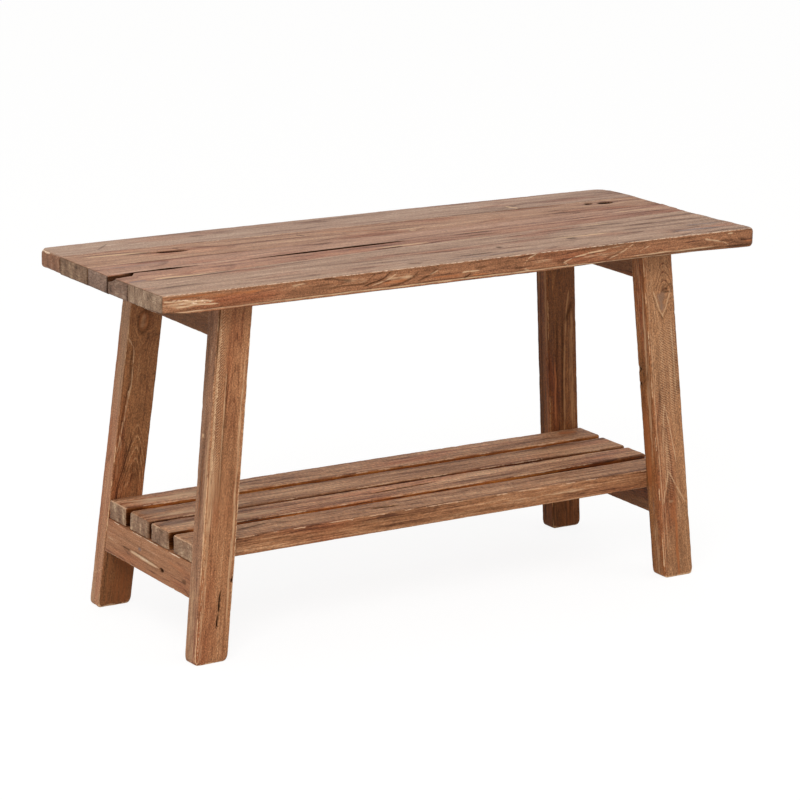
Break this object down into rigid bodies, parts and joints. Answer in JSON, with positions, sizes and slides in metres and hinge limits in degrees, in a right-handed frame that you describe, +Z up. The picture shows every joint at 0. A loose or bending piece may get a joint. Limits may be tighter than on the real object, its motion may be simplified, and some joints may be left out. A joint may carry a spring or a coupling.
{
  "type": "shoe bench",
  "caption": "Rustic solid-wood bench with an edge-glued plank top, legs splayed both ways, cross rails at each end and a low slatted shelf for shoes.",
  "frame": {"origin": "on the floor, under the middle of the bounding box of the whole bench", "axes": "+X along the bench towards its right end as seen from the front, +Y from front to back, +Z up"},
  "size_m": [0.838, 0.304, 0.45],
  "materials": {
    "top_wood": "matt, weathered and lightly sanded reclaimed teak",
    "leg_wood": "matt, saw-marked reclaimed teak",
    "rail_wood": "matt reclaimed teak",
    "slat_wood": "matt, weathered reclaimed teak",
    "dowel_wood": "plain hardwood dowel",
    "screw_steel": "zinc plated"
  },
  "bodies": {
    "root": {"top_board_1": "top_wood", "top_board_2": "top_wood", "top_board_3": "top_wood", "top_board_4": "top_wood", "top_board_5": "top_wood", "leg_front_left": "leg_wood", "leg_front_right": "leg_wood", "leg_back_left": "leg_wood", "leg_back_right": "leg_wood", "top_rail_left": "rail_wood", "top_rail_right": "rail_wood", "shelf_rail_left": "rail_wood", "shelf_rail_right": "rail_wood", "shelf_slat_1": "slat_wood", "shelf_slat_2": "slat_wood", "shelf_slat_3": "slat_wood", "shelf_slat_4": "slat_wood", "top_screws": "screw_steel", "slat_screws": "screw_steel", "leg_dowels": "dowel_wood"}
  },
  "joints": []
}
